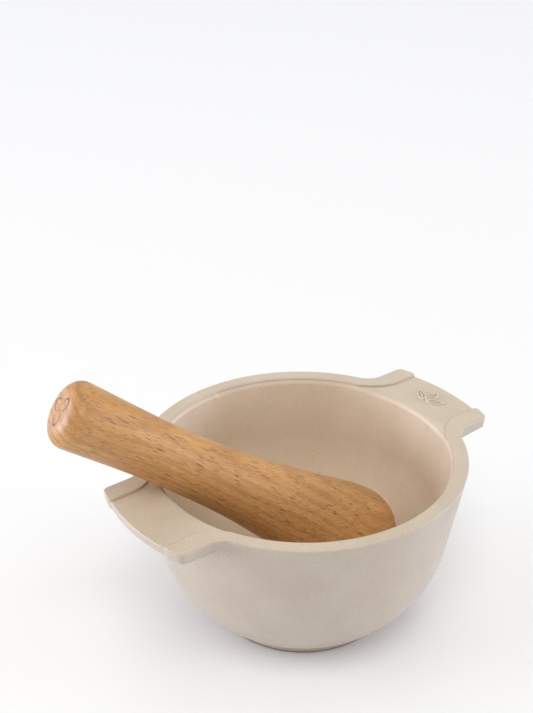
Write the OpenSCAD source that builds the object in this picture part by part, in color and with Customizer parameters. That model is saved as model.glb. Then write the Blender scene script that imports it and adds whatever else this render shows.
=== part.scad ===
// Stoneware mortar with two lug handles, and a turned beech pestle that leans in it.
// The origin is the centre of the foot's underside. +Z is up, +X points to the lug with the leaves.

/* [Bowl] */
// Outer diameter across the rim
rim_d = 130; // [122:1:140]
// Height from the table to the rim
bowl_h = 71.5; // [66:0.5:80]
// Width of the rim, and thickness of the upper wall
wall_t = 6.4; // [5:0.1:8]
// Lean of the straight upper wall from upright, in degrees
wall_lean = 10.2; // [7:0.1:12]
// Height at which the straight upper wall meets the rounded belly
belly_top = 37.5; // [34:0.5:40]
// Radius of the rounded belly
belly_r = 53; // [50:0.5:56]
// Height of the cavity's floor
floor_z = 9.5; // [8:0.5:12]
// Radius of the flat middle of the cavity's floor
floor_r = 9; // [4:0.5:14]
// Rounding of the rim's inner edge
rim_round = 1.6; // [0.4:0.1:2.5]

/* [Foot] */
// Height of the foot ring
foot_h = 2.8; // [2:0.1:3.5]
// Width of the ring that touches the table
foot_wall = 6.5; // [4:0.5:9]
// Step from the belly in to the foot ring
foot_step = 0.2; // [0:0.1:1]

/* [Lugs] */
// Distance from the bowl's axis to the end of each lug
lug_reach = 80.7; // [77:0.1:86]
// Width of each lug
lug_w = 52.6; // [48:0.2:60]
// Thickness of a lug where it leaves the bowl
lug_root_t = 5.7; // [5:0.1:7]
// Thickness of a lug at its end
lug_end_t = 4.6; // [3.4:0.1:5]
// Radius of a lug's outer corners, in plan
lug_corner_r = 2; // [1:0.5:5]
// Radius of the fillet between a lug's side and the bowl, in plan
lug_fillet_r = 5; // [2:0.5:8]
// Width of the sunken panel on top of each lug
panel_w = 35.6; // [28:0.2:42]
// Depth of the sunken panel below the rim
panel_d = 1; // [0.5:0.1:1.6]
// Radius with which the panel flares out into the rim's inner edge
panel_flare_r = 10.7; // [6:0.1:14]
// How far the panel's end stands back from the ends of the raised bands beside it
panel_setback = 1.2; // [0.4:0.1:2]

/* [Leaf relief] */
// Distance from the bowl's axis to the foot of the leaves
leaf_x = 65.6; // [64:0.1:68]
// Length of each leaf
leaf_l = 7; // [4:0.5:8]
// Width of each leaf
leaf_w = 3.4; // [2:0.1:4]
// Angle between neighbouring leaves
leaf_fan = 52; // [40:1:70]
// Height of the leaves above the panel
leaf_raise = 0.4; // [0.2:0.05:0.6]

/* [Pestle] */
// Length of the pestle
pestle_l = 155.2; // [140:0.2:170]
// Greatest radius of the head
head_r = 20.2; // [18:0.1:21]
// Length of the rounded end, from the tip to the greatest radius
head_l = 18.9; // [15:0.1:24]
// Fullness of the rounded end: 2 is an ellipse, more is blunter
head_power = 2.2; // [2:0.1:3]
// Radius at the shoulder, behind the head
shoulder_r = 16.75; // [15:0.05:18]
// Radius of the neck
neck_r = 12.8; // [12.5:0.05:14]
// Radius of the waist, the slimmest place
waist_r = 11.7; // [11:0.1:12.5]
// Radius of the grip's end
butt_r = 13; // [12.6:0.1:15]
// Rounding of the grip's end
butt_round = 6; // [2:0.5:8]

/* [Pestle at rest] */
// Place of the pestle's tip, towards the leaf lug
tip_x = 29.3; // [27:0.1:31]
// Place of the pestle's tip, sideways
tip_y = -16.4; // [-18:0.1:-14]
// Height of the pestle's tip
tip_z = 20.65; // [20.65:0.05:30]
// Direction in which the grip points, in plan, in degrees from +X
grip_heading = 159.5; // [155:0.5:165]
// Rise of the grip from level, in degrees
grip_rise = 35.3; // [34:0.1:40]

/* [Hidden] */

glaze = [0.83, 0.77, 0.69];
bare_clay = [0.55, 0.38, 0.26];
beech = [0.74, 0.55, 0.37];

lathe_fn = 144;
arc_steps = 24;
edge_steps = 6;
// Overlap of a cutting tool past the surface that it cuts
cut = 1;

rim_r = rim_d / 2;
cavity_r = rim_r - wall_t;
panel_z = bowl_h - panel_d;

// Radius, at height z, of a wall that leans in from top_r at the rim
function wall_r(top_r, z) = top_r - tan(wall_lean) * (bowl_h - z);

// Points of an arc about centre c, from angle a0 to angle a1
function arc(c, r, a0, a1, steps) =
    [for (i = [0:steps]) let (a = a0 + (a1 - a0) * i / steps) c + r * [cos(a), sin(a)]];

// Points of an outline below the X axis, and the same points mirrored above it
function mirrored(half) =
    concat(half, [for (i = [len(half) - 1:-1:0]) [half[i][0], -half[i][1]]]);

// The belly is an arc tangent to the outer wall at belly_top, and ends at the foot
belly_c = [
    wall_r(rim_r, belly_top) - belly_r * cos(wall_lean),
    belly_top + belly_r * sin(wall_lean)
];
belly_end = -asin((belly_c[1] - foot_h) / belly_r);
base_r = belly_c[0] + belly_r * cos(belly_end);
foot_r = base_r - foot_step;

// The cavity is an arc tangent to its flat floor and to the inner wall
cavity_arc_r = (wall_r(cavity_r, floor_z) - floor_r) * cos(wall_lean) / (1 - sin(wall_lean));

// The rim's inner edge is an arc tangent to the level rim and to the inner wall
rim_round_c = [
    wall_r(cavity_r, bowl_h - rim_round) + rim_round / cos(wall_lean),
    bowl_h - rim_round
];

// Each half of a lug's outline: fillet beside the bowl, straight side, outer corner
lug_root_r = wall_r(rim_r, bowl_h - lug_root_t);
fillet_y = lug_w / 2 + lug_fillet_r;
fillet_x = sqrt(pow(lug_root_r + lug_fillet_r, 2) - pow(fillet_y, 2));
fillet_a = atan2(fillet_y, fillet_x);
corner_y = lug_w / 2 - lug_corner_r;
corner_x = sqrt(pow(lug_reach - lug_corner_r, 2) - pow(corner_y, 2));
corner_a = atan2(corner_y, corner_x);

// The panel's side flares in an arc tangent to the panel's edge and to the rim's inner edge
flare_y = panel_w / 2 + panel_flare_r;
flare_x = sqrt(pow(cavity_r + panel_flare_r, 2) - pow(flare_y, 2));
flare_a = atan2(flare_y, flare_x);

// Stations along the pestle's turned side: distance from the tip, and radius
side_l = pestle_l - butt_round - head_l;
stations = [
    [head_l, head_r],
    [head_l + 0.20 * side_l, shoulder_r],
    [head_l + 0.45 * side_l, neck_r],
    [head_l + 0.72 * side_l, waist_r],
    [head_l + side_l, butt_r]
];
station_steps = 8;

// Slope of the side at station k: level at the head, then that of its neighbours' chord
function slope(k) =
    k == 0 ? 0 :
    let (a = stations[k - 1], b = stations[min(k + 1, len(stations) - 1)])
    (b[1] - a[1]) / (b[0] - a[0]);

// Point of the smooth side between station k and the next, for t from 0 to 1
function side_point(k, t) =
    let (
        a = stations[k],
        b = stations[k + 1],
        span = b[0] - a[0],
        blend = t * t * (3 - 2 * t),
        swell = span * t * (1 - t) * (slope(k) * (1 - t) - slope(k + 1) * t)
    )
    [a[1] + (b[1] - a[1]) * blend + swell, a[0] + span * t];

// Point of the rounded head, for angle a from 0 at the tip to 90 at the greatest radius
function head_point(a) =
    [head_r * pow(1 - pow(cos(a), head_power), 1 / head_power), head_l * (1 - cos(a))];

function pestle_profile() = concat(
    [for (i = [0:arc_steps]) head_point(90 * i / arc_steps)],
    [for (k = [0:len(stations) - 2], i = [1:station_steps]) side_point(k, i / station_steps)],
    [for (i = [1:edge_steps]) let (a = 90 * i / edge_steps)
        [butt_r - butt_round + butt_round * cos(a), pestle_l - butt_round + butt_round * sin(a)]],
    [[0, pestle_l]]
);

function bowl_profile() = concat(
    [[0, foot_h]],
    arc(belly_c, belly_r, belly_end, -wall_lean, arc_steps),
    [[rim_r, bowl_h]],
    arc(rim_round_c, rim_round, 90, 180 - wall_lean, edge_steps),
    arc([floor_r, floor_z + cavity_arc_r], cavity_arc_r, -wall_lean, -90, arc_steps),
    [[0, floor_z]]
);

function lug_outline() = mirrored(concat(
    [cavity_r * [cos(fillet_a), -sin(fillet_a)]],
    arc([fillet_x, -fillet_y], lug_fillet_r, 180 - fillet_a, 90, edge_steps),
    arc([corner_x, -corner_y], lug_corner_r, -90, -corner_a, edge_steps),
    arc([0, 0], lug_reach, -corner_a * (1 - 1 / arc_steps), -corner_a / arc_steps, arc_steps / 2)
));

function panel_outline() = mirrored(concat(
    [(cavity_r - rim_round) * [cos(flare_a), -sin(flare_a)]],
    arc([flare_x, -flare_y], panel_flare_r, 180 - flare_a, 90, edge_steps),
    [[lug_reach + cut, -panel_w / 2]]
));

// The sunken panel, as a tool that cuts across the rim and along the lug
module panel_cut() {
    translate([0, 0, panel_z])
        linear_extrude(panel_d + cut)
            polygon(panel_outline());
}

// The space that the bowl's straight wall encloses, out to its outer surface
module wall_core() {
    rotate_extrude($fn = lathe_fn)
        polygon([
            [0, belly_top],
            [wall_r(rim_r, belly_top), belly_top],
            [wall_r(rim_r, bowl_h + cut), bowl_h + cut],
            [0, bowl_h + cut]
        ]);
}

// A bar across the lug, seen from the side: level top, underside rising to the end
module lug_side() {
    rotate([90, 0, 0])
        linear_extrude(lug_w + 2 * cut, center = true)
            polygon([
                [0, bowl_h - lug_root_t],
                [rim_r, bowl_h - lug_root_t],
                [lug_reach + cut, bowl_h - lug_end_t],
                [lug_reach + cut, bowl_h],
                [0, bowl_h]
            ]);
}

// The strip by which the panel's end stands back
module panel_end_cut() {
    translate([0, 0, bowl_h - lug_root_t - cut])
        linear_extrude(lug_root_t + 2 * cut)
            difference() {
                translate([rim_r, -panel_w / 2])
                    square([lug_reach - rim_r + cut, panel_w]);
                circle(r = lug_reach - panel_setback, $fn = lathe_fn);
            }
}

// A lug on the +X side
module lug() {
    difference() {
        intersection() {
            translate([0, 0, bowl_h - lug_root_t - cut])
                linear_extrude(lug_root_t + 2 * cut)
                    polygon(lug_outline());
            lug_side();
        }
        wall_core();
        panel_cut();
        panel_end_cut();
    }
}

// One pointed leaf along +X, from its foot at the origin
module leaf() {
    arc_r = (leaf_l * leaf_l + leaf_w * leaf_w) / (4 * leaf_w);
    intersection() {
        translate([leaf_l / 2, arc_r - leaf_w / 2])
            circle(r = arc_r, $fn = lathe_fn);
        translate([leaf_l / 2, leaf_w / 2 - arc_r])
            circle(r = arc_r, $fn = lathe_fn);
    }
}

module bowl() {
    color(glaze)
        difference() {
            rotate_extrude($fn = lathe_fn)
                polygon(bowl_profile());
            for (turn = [0, 180])
                rotate(turn)
                    panel_cut();
        }
}

module foot_ring() {
    color(bare_clay)
        difference() {
            cylinder(h = foot_h, r = foot_r, $fn = lathe_fn);
            translate([0, 0, -cut])
                cylinder(h = foot_h + 2 * cut, r = foot_r - foot_wall, $fn = lathe_fn);
        }
}

module left_lug() {
    color(glaze)
        rotate(180)
            lug();
}

module right_lug() {
    color(glaze)
        union() {
            lug();
            translate([leaf_x, 0, panel_z - leaf_raise])
                linear_extrude(2 * leaf_raise)
                    for (turn = [-leaf_fan:leaf_fan:leaf_fan])
                        rotate(turn)
                            translate([leaf_w / 2, 0])
                                leaf();
        }
}

module pestle() {
    color(beech)
        translate([tip_x, tip_y, tip_z])
            rotate([0, 90 - grip_rise, grip_heading])
                rotate_extrude($fn = lathe_fn)
                    polygon(pestle_profile());
}

bowl();
foot_ring();
left_lug();
right_lug();
pestle();
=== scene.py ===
"""Looks of the stoneware mortar and its beech pestle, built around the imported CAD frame."""

import math

import bpy
import numpy as np
from mathutils import Matrix, Vector


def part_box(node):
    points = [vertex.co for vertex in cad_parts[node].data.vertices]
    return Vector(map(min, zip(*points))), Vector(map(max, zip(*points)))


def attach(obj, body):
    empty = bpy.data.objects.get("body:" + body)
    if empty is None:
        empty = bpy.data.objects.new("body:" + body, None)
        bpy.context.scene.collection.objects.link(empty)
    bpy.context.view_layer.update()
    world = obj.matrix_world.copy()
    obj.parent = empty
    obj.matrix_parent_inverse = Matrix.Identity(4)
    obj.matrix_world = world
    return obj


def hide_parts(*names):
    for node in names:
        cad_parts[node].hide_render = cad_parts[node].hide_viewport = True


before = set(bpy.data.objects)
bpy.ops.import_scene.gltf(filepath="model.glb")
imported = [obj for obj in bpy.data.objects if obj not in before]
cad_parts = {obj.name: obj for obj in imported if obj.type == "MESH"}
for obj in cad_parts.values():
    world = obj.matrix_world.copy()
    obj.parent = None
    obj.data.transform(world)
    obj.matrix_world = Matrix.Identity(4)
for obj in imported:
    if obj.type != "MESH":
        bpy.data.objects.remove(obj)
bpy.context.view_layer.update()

MM = 0.001

# ---------------------------------------------------------------- sizes

BOWL_LOW, BOWL_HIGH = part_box("bowl")
LUG_LOW, LUG_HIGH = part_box("right_lug")

RIM_R = BOWL_HIGH.x
RIM_Z = BOWL_HIGH.z
FOOT_Z = BOWL_LOW.z
FOOT_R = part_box("foot_ring")[1].x

WALL_T = 6.4 * MM
LEAN = math.radians(10.2)
CAVITY_R = RIM_R - WALL_T
BELLY_TOP = 37.5 * MM
BELLY_R = 53 * MM
FLOOR_Z = 9.5 * MM
FLOOR_R = 9 * MM
FOOT_WALL = 6.5 * MM
FOOT_ROUND = 0.5 * MM
FOOT_FILLET_R = 0.25 * MM
FOOT_OVERLAP = 2 * MM
BELLY_ROUND = 0.7 * MM

PANEL_SETBACK = 1.2 * MM
LUG_REACH = LUG_HIGH.x + PANEL_SETBACK
LUG_HALF_W = 26.3 * MM
LUG_ROOT_T = RIM_Z - LUG_LOW.z
LUG_END_T = 4.6 * MM
LUG_CORNER_R = 2.0 * MM
LUG_END_DRAFT = 0.12
LUG_SIDE_DRAFT = 0.05
LUG_FILLET_R = 4.5 * MM
UNDER_FILLET_R = 2.0 * MM
LUG_UNDER_ROUND = 0.7 * MM
LUG_TOP_D = 2 * MM
LUG_TOP_X = 52 * MM
PANEL_HALF_W = 17.8 * MM
PANEL_D = 0.8 * MM
PANEL_FLARE_R = 10.7 * MM

EDGE_ROUND = 0.65 * MM
STEP_ROUND = 0.6 * MM
STEP_FILLET_R = 0.15 * MM
BAND_CORNER_R = 2.2 * MM
BAND_FILLET_R = 0.8 * MM
LEFT_BANDS_BACK = 0.6 * MM
RIM_INNER_ROUND = 1.6 * MM
RIGHT_PANEL_ROUND = 3.0 * MM
LEFT_PANEL_ROUND = 1.5 * MM

GRIP_HEADING = math.radians(159.5)
GRIP_RISE = math.radians(35.3)
PESTLE_L = 155.15 * MM
HEAD_R = 20.18 * MM
HEAD_L = 18.9 * MM
HEAD_POWER = 2.2
SHOULDER_R = 16.73 * MM
NECK_R = 12.78 * MM
WAIST_R = 11.68 * MM
BUTT_R = 12.96 * MM
BUTT_ROUND = 6 * MM
PESTLE_SIDES = 112

# ---------------------------------------------------------------- mortar: its surface as a field


def wall_r(top_r, z):
    """Radius, at height z, of a wall that leans in from top_r at the rim."""
    return top_r - math.tan(LEAN) * (RIM_Z - z)


BELLY_CX = wall_r(RIM_R, BELLY_TOP) - BELLY_R * math.cos(LEAN)
BELLY_CZ = BELLY_TOP + BELLY_R * math.sin(LEAN)
CAVITY_ARC_R = (wall_r(CAVITY_R, FLOOR_Z) - FLOOR_R) * math.cos(LEAN) / (1 - math.sin(LEAN))


def convex(a, b, r):
    """The solid inside both a and b, its edge rounded to radius r."""
    corner = np.hypot(np.maximum(a + r, 0), np.maximum(b + r, 0))
    return np.minimum(np.maximum(a, b), -r) + corner


def concave(a, b, r):
    """The solid inside a or b, with a fillet of radius r between them."""
    return -convex(-a, -b, r)


def ease(t):
    """0 to 1 as t goes from 0 to 1, level at both ends."""
    t = np.clip(t, 0, 1)
    return t * t * (3 - 2 * t)


def outer_wall(rho, z):
    """Distance out of the bowl's straight wall and rounded belly."""
    dx, dz = rho - BELLY_CX, z - BELLY_CZ
    straight = (rho - wall_r(RIM_R, z)) * math.cos(LEAN)
    belly = np.hypot(dx, dz) - BELLY_R
    return np.where(dx * math.sin(LEAN) + dz * math.cos(LEAN) > 0, straight, belly)


def cavity(rho, z):
    """Distance out of the cavity: negative in the space that the bowl encloses."""
    dx, dz = np.maximum(rho - FLOOR_R, 0), z - FLOOR_Z - CAVITY_ARC_R
    straight = (rho - wall_r(CAVITY_R, z)) * math.cos(LEAN)
    dish = np.hypot(dx, dz) - CAVITY_ARC_R
    return np.where(dx * math.sin(LEAN) + dz * math.cos(LEAN) > 0, straight, dish)


def band(x, y):
    """Negative on the raised bands beside the panels and on the rim, positive on the panels."""
    rho = np.hypot(x, y)
    return convex(PANEL_HALF_W - np.abs(y), CAVITY_R - rho, PANEL_FLARE_R)


LEAF_X = 65.6 * MM
LEAF_L = 7.6 * MM
LEAF_W = 3.3 * MM
LEAF_FAN = math.radians(56)
LEAF_GAP = 1.1 * MM
LEAF_LINE = 0.30 * MM
LEAF_RAISE = 0.45 * MM
RIB_BACK = 0.22 * LEAF_L
RIB_HALF_L = 0.30 * LEAF_L


def leaf_lines(x, y):
    """Distance from the outlines and midribs of three leaves on the +X lug."""
    arc_r = (LEAF_L**2 + LEAF_W**2) / (4 * LEAF_W)
    line = np.full_like(x, 1.0)
    for turn in (-LEAF_FAN, 0, LEAF_FAN):
        c, s = math.cos(turn), math.sin(turn)
        u = (x - LEAF_X) * c + y * s - LEAF_GAP - LEAF_L / 2
        v = -(x - LEAF_X) * s + y * c
        edge = np.hypot(u, np.abs(v) + arc_r - LEAF_W / 2) - arc_r
        rib = np.hypot(np.maximum(np.abs(u + RIB_BACK) - RIB_HALF_L, 0), v)
        line = np.minimum(line, np.minimum(np.abs(edge), rib))
    return line


def mortar_field(p):
    """Signed distance, near enough, out of the mortar at points p."""
    x, y, z = p[..., 0], p[..., 1], p[..., 2]
    rho = np.hypot(x, y)
    depth = RIM_Z - z
    raised = band(x, y)

    belly = convex(outer_wall(rho, z), FOOT_Z - z, BELLY_ROUND)
    ring = np.abs(rho - FOOT_R + FOOT_WALL / 2) - FOOT_WALL / 2
    ring = convex(convex(ring, -z, FOOT_ROUND), z - FOOT_Z - FOOT_OVERLAP, FOOT_ROUND)
    body = concave(belly, ring, FOOT_FILLET_R)

    end = rho - LUG_REACH + LUG_END_DRAFT * depth
    bands = end + np.where(x > 0, 0, LEFT_BANDS_BACK)
    end = concave(end + PANEL_SETBACK, convex(bands, raised, BAND_CORNER_R), BAND_FILLET_R)
    side = np.abs(y) - LUG_HALF_W + LUG_SIDE_DRAFT * depth
    thin = np.clip((rho - RIM_R) / (LUG_REACH - RIM_R), 0, 1)
    under = LUG_ROOT_T + (LUG_END_T - LUG_ROOT_T) * thin
    lug = convex(convex(side, end, LUG_CORNER_R), depth - under, LUG_UNDER_ROUND)
    above_under = ease((LUG_ROOT_T + 0.5 * MM - depth) / (3 * MM))
    fillet = UNDER_FILLET_R + (LUG_FILLET_R - UNDER_FILLET_R) * above_under
    body = concave(body, lug, fillet)

    leaves = LEAF_RAISE * ease((1.6 * LEAF_LINE - leaf_lines(x, y)) / LEAF_LINE)
    top = concave(PANEL_D - leaves - depth, convex(raised, -depth, STEP_ROUND), STEP_FILLET_R)
    body = convex(body, top, EDGE_ROUND)

    panel_round = np.where(x > 0, RIGHT_PANEL_ROUND, LEFT_PANEL_ROUND)
    on_panel = ease((raised + 1.5 * MM) / (5 * MM))
    inner_round = RIM_INNER_ROUND + (panel_round - RIM_INNER_ROUND) * on_panel
    return convex(body, -cavity(rho, z), inner_round)


# Least divisors, so that a zero length or a level field gives no infinite number
TINY = 1e-12
LEAST_SLOPE = 0.2


def gradient(field, p, step):
    """Central differences of a field at points p."""
    out = np.empty_like(p)
    for k in range(3):
        d = np.zeros(3)
        d[k] = step
        out[:, k] = (field(p + d) - field(p - d)) / (2 * step)
    return out


def unit(v):
    """Vectors at length 1."""
    return v / np.maximum(np.linalg.norm(v, axis=-1, keepdims=True), TINY)


def spread(*stretches):
    """Grid lines through stretches of (start, end, spacing)."""
    lines = [np.linspace(a, b, max(1, round((b - a) / d)), endpoint=False) for a, b, d in stretches]
    return np.append(np.concatenate(lines), stretches[-1][1])


CORNERS = [(i, j, k) for i in (0, 1) for j in (0, 1) for k in (0, 1)]


def crossed_cells(inside):
    """The grid cells that the surface crosses, and each cell's number among them, or -1.

    The first and the last turn hold the same cells, so the first takes the numbers of the last."""
    n = np.array(inside.shape) - 1
    count = sum(inside[i:n[0] + i, j:n[1] + j, k:n[2] + k].astype(np.int8) for i, j, k in CORNERS)
    count[:, 0] = 0
    cells = np.argwhere((count > 0) & (count < 8))
    number = np.full(n, -1, np.int64)
    number[tuple(cells.T)] = np.arange(len(cells))
    number[:, 0] = number[:, -1]
    return cells, number


def net_vertices(grid, value, cells):
    """One vertex to a cell: the mean of the points where the surface crosses the cell's edges."""
    total = np.zeros((len(cells), 3))
    hits = np.zeros(len(cells))
    for a, axis in [(a, axis) for a in CORNERS for axis in range(3) if not a[axis]]:
        b = list(a)
        b[axis] = 1
        ia, ib = tuple((cells + a).T), tuple((cells + b).T)
        va, vb = value[ia], value[ib]
        crossed = (va < 0) != (vb < 0)
        share = np.where(crossed, va / np.where(crossed, va - vb, 1), 0)[:, None]
        total += crossed[:, None] * (grid[ia] * (1 - share) + grid[ib] * share)
        hits += crossed
    return total / hits[:, None]


def net_faces(inside, number):
    """One face round each grid edge that the surface crosses, facing out of the solid."""
    faces = []
    for axis in range(3):
        u, v = (axis + 1) % 3, (axis + 2) % 3
        first = 1 if axis == 1 else 0
        low = [slice(1, -1)] * 3
        low[axis] = slice(first, -1)
        high = list(low)
        high[axis] = slice(first + 1, None)
        here, there = inside[tuple(low)], inside[tuple(high)]
        edges = np.argwhere(here != there)
        leaving = here[tuple(edges.T)]
        edges += 1
        edges[:, axis] += first - 1
        ring = []
        for du, dv in ((1, 1), (0, 1), (0, 0), (1, 0)):
            cell = edges.copy()
            cell[:, u] -= du
            cell[:, v] -= dv
            ring.append(number[tuple(cell.T)])
        ring = np.stack(ring, 1)
        ring[~leaving] = ring[~leaving][:, ::-1]
        faces += ring.tolist()

    # Where the surface crosses the Z axis, one face fills the ring of cells round it
    for k in np.flatnonzero((number[0] >= 0).all(0)):
        ring = number[0, 1:, k].tolist()
        faces.append(ring if inside[0, 0, k] else ring[::-1])
    return faces


def surface_net(field, radii, turns, heights):
    """Vertices and faces of the surface where the field is zero, one vertex to a crossed cell.

    The grid is round the Z axis: radii start at 0, and turns go once round without repeating one."""
    turns = np.concatenate([turns[-1:], turns, turns[:1]])
    r, t, z = np.meshgrid(radii, turns, heights, indexing="ij")
    grid = np.stack([r * np.cos(t), r * np.sin(t), z], -1)
    value = field(grid)
    cells, number = crossed_cells(value < 0)
    return net_vertices(grid, value, cells), net_faces(value < 0, number)


def settle(field, verts, step, limit, rounds=4):
    """Moves the vertices onto the surface, each by no more than the limit at a time."""
    for _ in range(rounds):
        g = gradient(field, verts, step)
        slope = np.maximum((g * g).sum(1), LEAST_SLOPE)
        move = -(field(verts) / slope)[:, None] * g
        size = np.linalg.norm(move, axis=1, keepdims=True)
        verts = verts + move * np.minimum(1, limit / np.maximum(size, TINY))
    return verts


def surface_bend(field, p, step):
    """How much the surface bends at points p, in 1/m: above 0 on edges, below 0 in hollows."""
    bend = 0
    for k, d in enumerate(np.eye(3) * step):
        ahead = unit(gradient(field, p + d, 0.1 * MM))
        behind = unit(gradient(field, p - d, 0.1 * MM))
        bend = bend + (ahead - behind)[:, k]
    return bend / (2 * step)


def bell(distance, middle, width):
    """1 at the middle distance, fading over the width on both sides of it."""
    return np.exp(-((distance - middle) / width) ** 2)


def make_object(name, verts, faces, normals=None, attributes=None):
    """A mesh object, smooth shaded, with its point attributes."""
    mesh = bpy.data.meshes.new(name)
    mesh.from_pydata(verts.tolist(), [], faces)
    mesh.validate()
    mesh.shade_smooth()
    for key, values in (attributes or {}).items():
        kind = "FLOAT_VECTOR" if values.ndim == 2 else "FLOAT"
        slot = mesh.attributes.new(key, kind, "POINT")
        part = "vector" if values.ndim == 2 else "value"
        slot.data.foreach_set(part, values.astype(np.float32).ravel())
    if normals is not None:
        mesh.normals_split_custom_set_from_vertices(normals.tolist())
    obj = bpy.data.objects.new(name, mesh)
    bpy.context.scene.collection.objects.link(obj)
    return obj


def build_mortar():
    """The whole fired piece as one seamless mesh, finer on the lugs, relief, rim and foot."""
    radii = spread(
        (0, 28 * MM, 2 * MM), (28 * MM, 37 * MM, 0.45 * MM), (37 * MM, 54 * MM, 1.1 * MM),
        (54 * MM, 65 * MM, 0.35 * MM), (65 * MM, 76 * MM, 0.2 * MM),
        (76 * MM, LUG_REACH + 1 * MM, 0.4 * MM),
    )
    turns = np.radians(spread(
        (-8, 8, 0.15), (8, 26, 0.5), (26, 154, 1.2),
        (154, 206, 0.5), (206, 334, 1.2), (334, 352, 0.5),
    )[:-1])
    heights = spread(
        (-1 * MM, 4 * MM, 0.35 * MM), (4 * MM, 64 * MM, 1.4 * MM),
        (64 * MM, RIM_Z + 1.5 * MM, 0.3 * MM),
    )
    verts, faces = surface_net(mortar_field, radii, turns, heights)
    verts = settle(mortar_field, verts, 0.05 * MM, 0.3 * MM)
    normals = unit(gradient(mortar_field, verts, 0.08 * MM))
    bend = surface_bend(mortar_field, verts, 0.5 * MM)
    x, y, z = verts.T
    lines = leaf_lines(x, y)
    near_top = (RIM_Z - z < LUG_TOP_D) * (np.abs(x) > LUG_TOP_X)
    foot_of_step = bell(band(x, y), 0.1 * MM, 0.35 * MM)
    round_leaves = bell(lines, 0.58 * MM, 0.22 * MM)
    attributes = {
        "inside": ease((0.9 * MM - np.abs(cavity(np.hypot(x, y), z))) / (0.8 * MM)),
        "bend": np.clip(bend * MM, -2, 2),
        # Where shade is painted: the foot of the panel step and the ground round the leaf lines, on
        # the lug tops
        "crease_shade": np.maximum(0.5 * foot_of_step, 0.8 * round_leaves) * near_top,
        "near_top": 1.0 * near_top,
        "level": ease((normals[:, 2] - 0.15) / 0.5) * (z > BELLY_TOP),
        # Mask for the painted highlight on the raised leaf lines
        "ridge": near_top * ease((1.3 * LEAF_LINE - lines) / LEAF_LINE),
    }
    return make_object("mortar_body", verts, faces, normals, attributes)


# ---------------------------------------------------------------- pestle


def pestle_axis():
    """The pestle's tip, its axis towards the grip, and two directions across it."""
    axis = Vector((
        math.cos(GRIP_HEADING) * math.cos(GRIP_RISE),
        math.sin(GRIP_HEADING) * math.cos(GRIP_RISE),
        math.sin(GRIP_RISE),
    ))
    points = [v.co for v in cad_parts["pestle"].data.vertices]
    tip = min(points, key=lambda co: co.dot(axis))
    across = axis.cross(Vector((0, 0, 1))).normalized()
    return tip.copy(), axis, across, across.cross(axis)


def pestle_profile():
    """Points (distance from the tip, radius) of the turned outline."""
    side_l = PESTLE_L - BUTT_ROUND - HEAD_L
    s = HEAD_L + side_l * np.array([0, 0.2, 0.45, 0.72, 1])
    r = np.array([HEAD_R, SHOULDER_R, NECK_R, WAIST_R, BUTT_R])
    slope = np.zeros(5)
    slope[1:4] = (r[2:] - r[:-2]) / (s[2:] - s[:-2])
    slope[4] = (r[4] - r[3]) / (s[4] - s[3])

    a = np.linspace(0, math.pi / 2, 30)
    head_r = HEAD_R * (1 - np.cos(a) ** HEAD_POWER) ** (1 / HEAD_POWER)
    points = list(zip(HEAD_L * (1 - np.cos(a)), head_r))
    for k in range(4):
        span = s[k + 1] - s[k]
        for t in np.linspace(0, 1, 16)[1:]:
            swell = span * t * (1 - t) * (slope[k] * (1 - t) - slope[k + 1] * t)
            points.append((s[k] + span * t, r[k] + (r[k + 1] - r[k]) * ease(t) + swell))
    for a in np.linspace(0, math.pi / 2, 12)[1:]:
        inset = BUTT_ROUND * (1 - math.cos(a))
        points.append((PESTLE_L - BUTT_ROUND * (1 - math.sin(a)), BUTT_R - inset))
    flat_r = BUTT_R - BUTT_ROUND
    points += [(PESTLE_L, flat_r * f) for f in (0.8, 0.55, 0.3, 0.12)]
    return points[1:]


def build_pestle():
    """One turned piece, as rings round its axis, with its grain's own coordinates."""
    tip, axis, across, up = pestle_axis()
    rings = pestle_profile()
    around = PESTLE_SIDES
    turn = np.linspace(0, 2 * math.pi, around, endpoint=False)
    grain = [(0, 0, 0)]
    for s, r in rings:
        grain += [(r * math.cos(t), r * math.sin(t), s) for t in turn]
    grain.append((0, 0, PESTLE_L))
    grain = np.array(grain)
    verts = np.array(tip) + grain @ np.array([across, up, axis])

    last = len(grain) - 1
    faces = []
    for j in range(around):
        k = (j + 1) % around
        faces.append((0, 1 + k, 1 + j))
        for i in range(len(rings) - 1):
            a, b = 1 + i * around, 1 + (i + 1) * around
            faces.append((a + j, a + k, b + k, b + j))
        faces.append((last, last - around + j, last - around + k))
    return make_object("pestle_body", verts, faces, attributes={"grain": grain / MM})


# ---------------------------------------------------------------- materials


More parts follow.
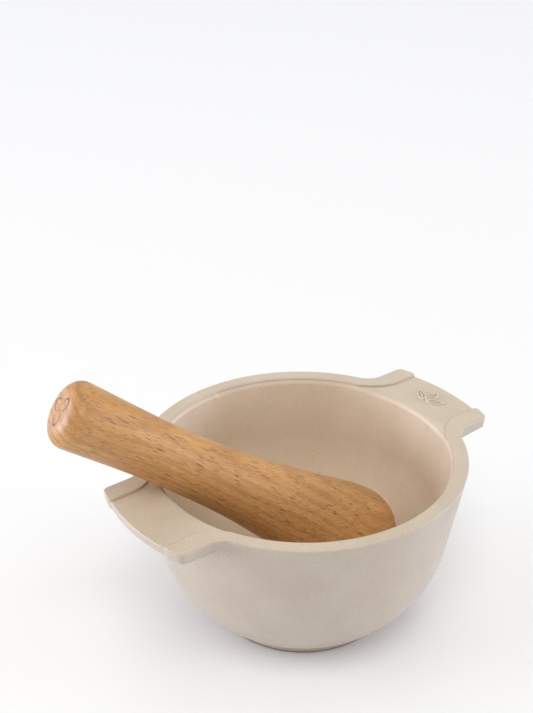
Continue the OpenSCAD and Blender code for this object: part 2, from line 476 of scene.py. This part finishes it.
class Shader:
    """A material's node tree, with short calls for the nodes that it uses."""

    def __init__(self, name):
        self.material = bpy.data.materials.new(name)
        self.material.use_nodes = True
        self.tree = self.material.node_tree
        self.tree.nodes.clear()
        self.out = self.tree.nodes.new("ShaderNodeOutputMaterial")
        self.bsdf = self.tree.nodes.new("ShaderNodeBsdfPrincipled")
        self.link(self.bsdf.outputs[0], self.out.inputs[0])

    def link(self, a, b):
        self.tree.links.new(a, b)

    def feed(self, socket, value):
        """Links an input to another node's output, or sets it to a plain value."""
        if isinstance(value, bpy.types.NodeSocket):
            self.link(value, socket)
        else:
            socket.default_value = value

    def node(self, kind, **inputs):
        """A node with its inputs fed by name, an underscore for each space."""
        n = self.tree.nodes.new(kind)
        for key, value in inputs.items():
            self.feed(n.inputs[key.replace("_", " ")], value)
        return n

    def math(self, operation, a, b=0.0, c=0.0):
        n = self.tree.nodes.new("ShaderNodeMath")
        n.operation = operation
        for socket, value in zip(n.inputs, (a, b, c)):
            self.feed(socket, value)
        return n.outputs[0]

    def attribute(self, name, vector=False):
        n = self.tree.nodes.new("ShaderNodeAttribute")
        n.attribute_name = name
        return n.outputs["Vector" if vector else "Fac"]

    def noise(self, where, scale, detail=3.0, roughness=0.5):
        n = self.node(
            "ShaderNodeTexNoise", Vector=where, Scale=scale, Detail=detail, Roughness=roughness,
        )
        return n.outputs["Fac"]

    def scaled(self, where, factors):
        n = self.tree.nodes.new("ShaderNodeVectorMath")
        n.operation = "MULTIPLY"
        self.link(where, n.inputs[0])
        n.inputs[1].default_value = factors
        return n.outputs[0]

    def step(self, value, low, high, a=0.0, b=1.0):
        """Smooth change from a to b as value goes from low to high."""
        n = self.tree.nodes.new("ShaderNodeMapRange")
        n.interpolation_type = "SMOOTHSTEP"
        self.link(value, n.inputs["Value"])
        for key, number in (("From Min", low), ("From Max", high), ("To Min", a), ("To Max", b)):
            n.inputs[key].default_value = number
        return n.outputs["Result"]

    def mix(self, fac, a, b, blend="MIX"):
        n = self.tree.nodes.new("ShaderNodeMix")
        n.data_type, n.blend_type = "RGBA", blend
        for socket, value in ((n.inputs[0], fac), (n.inputs[6], a), (n.inputs[7], b)):
            self.feed(socket, (*value, 1) if isinstance(value, tuple) else value)
        return n.outputs[2]

    def bump(self, height, distance, strength=1.0, normal=None):
        n = self.node("ShaderNodeBump", Height=height, Distance=distance, Strength=strength)
        if normal is not None:
            self.link(normal, n.inputs["Normal"])
        return n.outputs[0]

    def set(self, **inputs):
        """Feeds the surface's own inputs by name."""
        for key, value in inputs.items():
            self.feed(self.bsdf.inputs[key.replace("_", " ")], value)


def specks(shader, where, scale, share, radius, core):
    """1 in small scattered specks, one in each of a share of the Voronoi cells.

    The radius is in cell widths, and core is the share of it that is solid before the speck fades."""
    cell = shader.node("ShaderNodeTexVoronoi", Vector=where, Scale=scale, Randomness=1.0)
    chance = shader.node("ShaderNodeSeparateColor", Color=cell.outputs["Color"])
    near = shader.step(cell.outputs["Distance"], radius, radius * core)
    chosen = shader.math("LESS_THAN", chance.outputs[0], share)
    return shader.math("MULTIPLY", near, chosen)


GLAZE_DARK, GLAZE_PALE = (0.552, 0.464, 0.358), (0.594, 0.509, 0.400)
# Painted bounce light: a lighter, warmer tan for the inside of the bowl, on the same glaze as outside
CAVITY_BOUNCE_DARK, CAVITY_BOUNCE_PALE = (0.680, 0.556, 0.425), (0.733, 0.609, 0.478)
# Painted shade and cool light: multiplies the colour of the upright outer walls darker and cooler
WALL_PAINTED_COOL_SHADE = (0.905, 0.915, 0.995)
THIN_GLAZE = (0.50, 0.40, 0.30)
# Painted shade: brown put in the creases and recesses on the lug tops
HOLLOW_PAINTED_SHADE = (0.42, 0.30, 0.19)
# Painted highlight: a paler colour for the raised leaf lines, as if catching the light
RIDGE_PAINTED_HIGHLIGHT = (0.70, 0.63, 0.54)
DARK_GRIT, PALE_GRIT = (0.33, 0.22, 0.14), (0.80, 0.74, 0.66)
IRON_SPECK = (0.13, 0.07, 0.04)
CLAY_DARK, CLAY_PALE = (0.20, 0.105, 0.055), (0.36, 0.21, 0.12)

# Heights between which the glaze gives way to bare clay
GLAZE_ENDS, CLAY_TOP = 1.15 * MM, 0.85 * MM


def glaze_material():
    """Satin cream glaze: mottled, specked, thinner on edges, none on the bottom of the foot."""
    sh = Shader("stoneware_glaze")
    where = sh.node("ShaderNodeTexCoord").outputs["Object"]
    height = sh.node("ShaderNodeSeparateXYZ", Vector=where).outputs["Z"]
    inside = sh.attribute("inside")
    bend = sh.attribute("bend")
    crease_shade = sh.attribute("crease_shade")

    cloud = sh.noise(where, 45, 4, 0.55)
    grit = sh.noise(where, 1800, 3, 0.7)

    colour = sh.mix(sh.step(cloud, 0.3, 0.7), GLAZE_DARK, GLAZE_PALE)
    # Painted bounce light: the cavity takes a lighter, warmer tan than the outer glaze, in place of
    # light reflected round the bowl
    cavity_bounce_colour = sh.mix(sh.step(cloud, 0.3, 0.7), CAVITY_BOUNCE_DARK, CAVITY_BOUNCE_PALE)
    colour = sh.mix(inside, colour, cavity_bounce_colour)

    # Painted shade and cool light on the outer walls, away from the level tops and the cavity
    level = sh.attribute("level")
    wall = sh.math("SUBTRACT", 1.0, sh.math("MAXIMUM", level, inside))
    colour = sh.mix(wall, colour, WALL_PAINTED_COOL_SHADE, "MULTIPLY")
    edge = sh.step(bend, 0.75, 1.5)
    colour = sh.mix(sh.math("MULTIPLY", edge, 0.25), colour, THIN_GLAZE)
    # Painted shade: creases near the lug tops, the foot of the step and round the leaf lines are
    # darkened brown
    hollow = sh.step(bend, -0.2, -1.0)
    hollow = sh.math("MAXIMUM", sh.math("MULTIPLY", hollow, sh.attribute("near_top")), crease_shade)
    colour = sh.mix(sh.math("MULTIPLY", hollow, 0.6), colour, HOLLOW_PAINTED_SHADE)

    # Painted highlight: the raised leaf lines are lightened as if they catch the light
    colour = sh.mix(sh.math("MULTIPLY", sh.attribute("ridge"), 0.6), colour, RIDGE_PAINTED_HIGHLIGHT)

    colour = sh.mix(sh.step(grit, 0.53, 0.76, 0.0, 0.48), colour, DARK_GRIT)
    colour = sh.mix(sh.step(grit, 0.45, 0.22, 0.0, 0.40), colour, PALE_GRIT)
    fine = specks(sh, where, 1 / (2.1 * MM), 0.22, 0.13, 0.45)
    bold = specks(sh, where, 1 / (7 * MM), 0.16, 0.055, 0.45)
    dots = sh.math("MAXIMUM", sh.math("MULTIPLY", fine, 0.55), sh.math("MULTIPLY", bold, 0.8))
    colour = sh.mix(dots, colour, IRON_SPECK)

    wave = sh.math("MULTIPLY_ADD", sh.noise(where, 300, 2), 0.35 * MM, height)
    clay = sh.step(wave, GLAZE_ENDS, CLAY_TOP)
    clay_colour = sh.mix(sh.step(grit, 0.3, 0.7), CLAY_DARK, CLAY_PALE)
    colour = sh.mix(clay, colour, clay_colour)

    rough = sh.step(sh.noise(where, 160, 3), 0.25, 0.75, 0.40, 0.50)
    rough = sh.math("SUBTRACT", rough, sh.math("MULTIPLY", sh.step(bend, 0.1, 0.6), 0.08))
    rough = sh.math("MAXIMUM", rough, sh.math("MULTIPLY", clay, 0.85))

    soft = sh.bump(sh.noise(where, 70, 2, 0.4), 0.12 * MM, 0.5)
    skin = sh.bump(grit, 0.025 * MM, 0.55, soft)
    pits = sh.bump(dots, 0.05 * MM, 0.4, skin)
    sh.set(Base_Color=colour, Roughness=rough, Normal=pits, IOR=1.5)
    return sh.material


BEECH_DARK, BEECH_PALE = (0.478, 0.232, 0.073), (0.612, 0.328, 0.115)
LATE_WOOD = (0.38, 0.175, 0.058)
FIBRE_DARK, FIBRE_PALE = (0.36, 0.165, 0.052), (0.70, 0.43, 0.21)
HAIR_DARK, HAIR_PALE = (0.33, 0.15, 0.05), (0.74, 0.47, 0.24)
RAY_FLECK = (0.22, 0.088, 0.028)
END_GRAIN = (0.36, 0.17, 0.06)
BURNT = (0.11, 0.042, 0.015)

# Length of a petal of the burnt mark, in mm like the grain
PETAL_L = 6.2

# Flecks in Voronoi cells of the grain: cells to a mm each way, share of cells, radius, strength
FLECKS = (
    ((0.66, 0.66, 0.09), 0.75, 0.26, 0.90),
    ((1.3, 1.3, 0.17), 0.85, 0.30, 0.75),
    ((0.40, 0.40, 0.17), 0.12, 0.22, 0.80),
)


def beech_material():
    """Oiled beech: warm tan, with growth bands, pores and short dark ray flecks along the grain."""
    sh = Shader("beech")
    grain = sh.attribute("grain", vector=True)
    parts = sh.node("ShaderNodeSeparateXYZ", Vector=grain)
    x, y, along = parts.outputs

    # Growth bands: sheets across the blank, bent and wandering slowly along it
    drift = sh.noise(sh.scaled(grain, (0.035, 0.035, 0.012)), 1.0, 2)
    ripple = sh.noise(sh.scaled(grain, (0.5, 0.5, 0.04)), 1.0, 2)
    sheet = sh.math("ADD", y, sh.math("MULTIPLY", sh.math("MULTIPLY", x, x), 0.012))
    sheet = sh.math("MULTIPLY_ADD", drift, 14.0, sheet)
    sheet = sh.math("MULTIPLY_ADD", ripple, 1.4, sheet)
    ring = sh.math("SINE", sh.math("MULTIPLY", sheet, 2.0))
    ring = sh.step(ring, -0.2, 1.0)

    fibre = sh.noise(sh.scaled(grain, (2.2, 2.2, 0.05)), 1.0, 4, 0.65)
    cloud = sh.noise(sh.scaled(grain, (0.11, 0.11, 0.018)), 1.0, 3)
    colour = sh.mix(sh.step(cloud, 0.25, 0.75), BEECH_DARK, BEECH_PALE)
    colour = sh.mix(sh.math("MULTIPLY", ring, 0.45), colour, LATE_WOOD)
    colour = sh.mix(sh.step(fibre, 0.45, 0.78, 0.0, 0.65), colour, FIBRE_DARK)
    colour = sh.mix(sh.step(fibre, 0.46, 0.24, 0.0, 0.45), colour, FIBRE_PALE)
    hair = sh.noise(sh.scaled(grain, (3.2, 3.2, 0.35)), 1.0, 2, 0.6)
    colour = sh.mix(sh.step(hair, 0.50, 0.75, 0.0, 0.50), colour, HAIR_DARK)
    colour = sh.mix(sh.step(hair, 0.50, 0.25, 0.0, 0.35), colour, HAIR_PALE)

    # Ray flecks: short dark dashes along the grain, and finer pores between them
    flecks = []
    for factors, share, radius, weight in FLECKS:
        dashes = specks(sh, sh.scaled(grain, factors), 1.0, share, radius, 0.35)
        flecks.append(sh.math("MULTIPLY", dashes, weight))
    fleck = sh.math("MAXIMUM", sh.math("MAXIMUM", flecks[0], flecks[1]), flecks[2])
    butt_start, butt_full = PESTLE_L - 0.5 * BUTT_ROUND, PESTLE_L - 0.1 * BUTT_ROUND
    butt = sh.step(along, butt_start / MM, butt_full / MM)
    fleck = sh.math("MULTIPLY", fleck, sh.math("SUBTRACT", 1.0, sh.math("MULTIPLY", butt, 0.8)))
    colour = sh.mix(fleck, colour, RAY_FLECK)

    # End grain on the butt is darker
    end = sh.math("MULTIPLY", butt, sh.math("MULTIPLY_ADD", ring, 0.45, 0.15))
    colour = sh.mix(end, colour, END_GRAIN)

    # A small burnt three-petal outline in the middle of the butt
    reach = sh.math("SQRT", sh.math("ADD", sh.math("MULTIPLY", x, x), sh.math("MULTIPLY", y, y)))
    angle = sh.math("ARCTAN2", y, x)
    petal = sh.math("ABSOLUTE", sh.math("COSINE", sh.math("MULTIPLY", angle, 1.5)))
    off = sh.math("ABSOLUTE", sh.math("SUBTRACT", reach, sh.math("MULTIPLY", petal, PETAL_L)))
    line = sh.math("MULTIPLY", sh.step(off, 0.70, 0.30), butt)
    colour = sh.mix(sh.math("MULTIPLY", line, 0.95), colour, BURNT)

    rough = sh.step(fibre, 0.2, 0.8, 0.34, 0.48)
    rough = sh.math("MAXIMUM", rough, sh.math("MULTIPLY", fleck, 0.6))
    pores = sh.bump(fibre, 0.06 * MM, 0.35)
    pores = sh.bump(sh.math("SUBTRACT", 1.0, sh.math("MAXIMUM", fleck, line)), 0.08 * MM, 0.5, pores)
    sh.set(Base_Color=colour, Roughness=rough, Normal=pores, IOR=1.5)
    return sh.material


def floor_material():
    """Plain matt studio floor, nearly white."""
    sh = Shader("studio_floor")
    sh.set(Base_Color=(0.90, 0.91, 0.93, 1), Roughness=0.8)
    return sh.material


# ---------------------------------------------------------------- object

mortar = build_mortar()
mortar.data.materials.append(glaze_material())
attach(mortar, "mortar")
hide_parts("bowl", "foot_ring", "left_lug", "right_lug")

pestle = build_pestle()
pestle.data.materials.append(beech_material())
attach(pestle, "pestle")
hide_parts("pestle")

# ---------------------------------------------------------------- camera


def back_from(azimuth, elevation):
    """Unit vector from the object towards a camera at that azimuth and elevation, in degrees."""
    a, e = math.radians(azimuth), math.radians(elevation)
    return Vector((math.sin(a) * math.cos(e), -math.cos(a) * math.cos(e), math.sin(e)))


# Azimuth and elevation in degrees: of the camera from the rim's centre, and of its view backwards
CAMERA_FROM = (-39.59, 32.71)
CAMERA_AIM = (-37.61, 28.37)
CAMERA_DISTANCE = 7.5625 * RIM_R
CAMERA_LENS = 62.7
CAMERA_ROLL = math.radians(-0.18)


def make_camera():
    """Camera at the place and aim that give the photographed view."""
    camera = bpy.data.objects.new("camera", bpy.data.cameras.new("camera"))
    bpy.context.scene.collection.objects.link(camera)
    camera.data.sensor_width = 36
    camera.data.lens = CAMERA_LENS
    camera.data.clip_start = 0.01
    camera.data.clip_end = 50
    rim_centre = Vector((0, 0, RIM_Z))
    camera.location = rim_centre + back_from(*CAMERA_FROM) * CAMERA_DISTANCE
    aim = -back_from(*CAMERA_AIM)
    level = aim.cross(Vector((0, 0, 1))).normalized()
    upright = level.cross(aim)
    c, s = math.cos(CAMERA_ROLL), math.sin(CAMERA_ROLL)
    right, up = level * c + upright * s, upright * c - level * s
    turn = Matrix((right, up, -aim)).transposed().to_4x4()
    camera.matrix_world = Matrix.Translation(camera.location) @ turn
    bpy.context.scene.camera = camera


make_camera()

# ---------------------------------------------------------------- studio

WARM, PLAIN, COOL = (1.0, 0.955, 0.86), (1.0, 0.98, 0.95), (0.93, 0.975, 1.12)
FLOOR_HALF = 6.0
LIGHT_TARGET = Vector((0, 0, 0.05))
LIGHT_DISTANCE = 3.0

# Name, azimuth and elevation in degrees, width and height, power in watts, colour
LIGHTS = (
    ("front_softbox", -35, 60, (1.6, 1.6), 29, WARM),
    ("top_softbox", -40, 85, (1.6, 1.6), 10, WARM),
    ("key_softbox", -118, 28, (1.6, 1.6), 10, PLAIN),
    ("left_softbox", -135, 6, (2.6, 0.9), 68, COOL),
    ("right_softbox", 58, 6, (2.6, 0.9), 53, COOL),
    ("back_softbox", 140, 38, (1.8, 1.6), 11.5, PLAIN),
)


def make_light(name, azimuth, elevation, size, power, colour):
    """A rectangular soft light that faces the bowl."""
    light = bpy.data.lights.new(name, "AREA")
    light.shape = "RECTANGLE"
    light.size, light.size_y = size
    light.energy = power
    light.color = colour
    obj = bpy.data.objects.new(name, light)
    bpy.context.scene.collection.objects.link(obj)
    direction = back_from(azimuth, elevation)
    obj.location = LIGHT_TARGET + direction * LIGHT_DISTANCE
    obj.rotation_mode = "QUATERNION"
    obj.rotation_quaternion = direction.to_track_quat("Z", "Y")


def make_floor():
    """A wide pale floor, level with the foot."""
    corners = FLOOR_HALF * np.array([(-1, -1, 0), (1, -1, 0), (1, 1, 0), (-1, 1, 0)])
    floor = make_object("floor", corners, [(0, 1, 2, 3)])
    floor.data.materials.append(floor_material())


make_floor()
for light in LIGHTS:
    make_light(*light)

world = bpy.data.worlds.new("studio")
world.use_nodes = True
background = world.node_tree.nodes["Background"]
background.inputs["Color"].default_value = (1, 1, 1, 1)
background.inputs["Strength"].default_value = 0.5
scene = bpy.context.scene
scene.world = world
scene.view_settings.view_transform = "Standard"
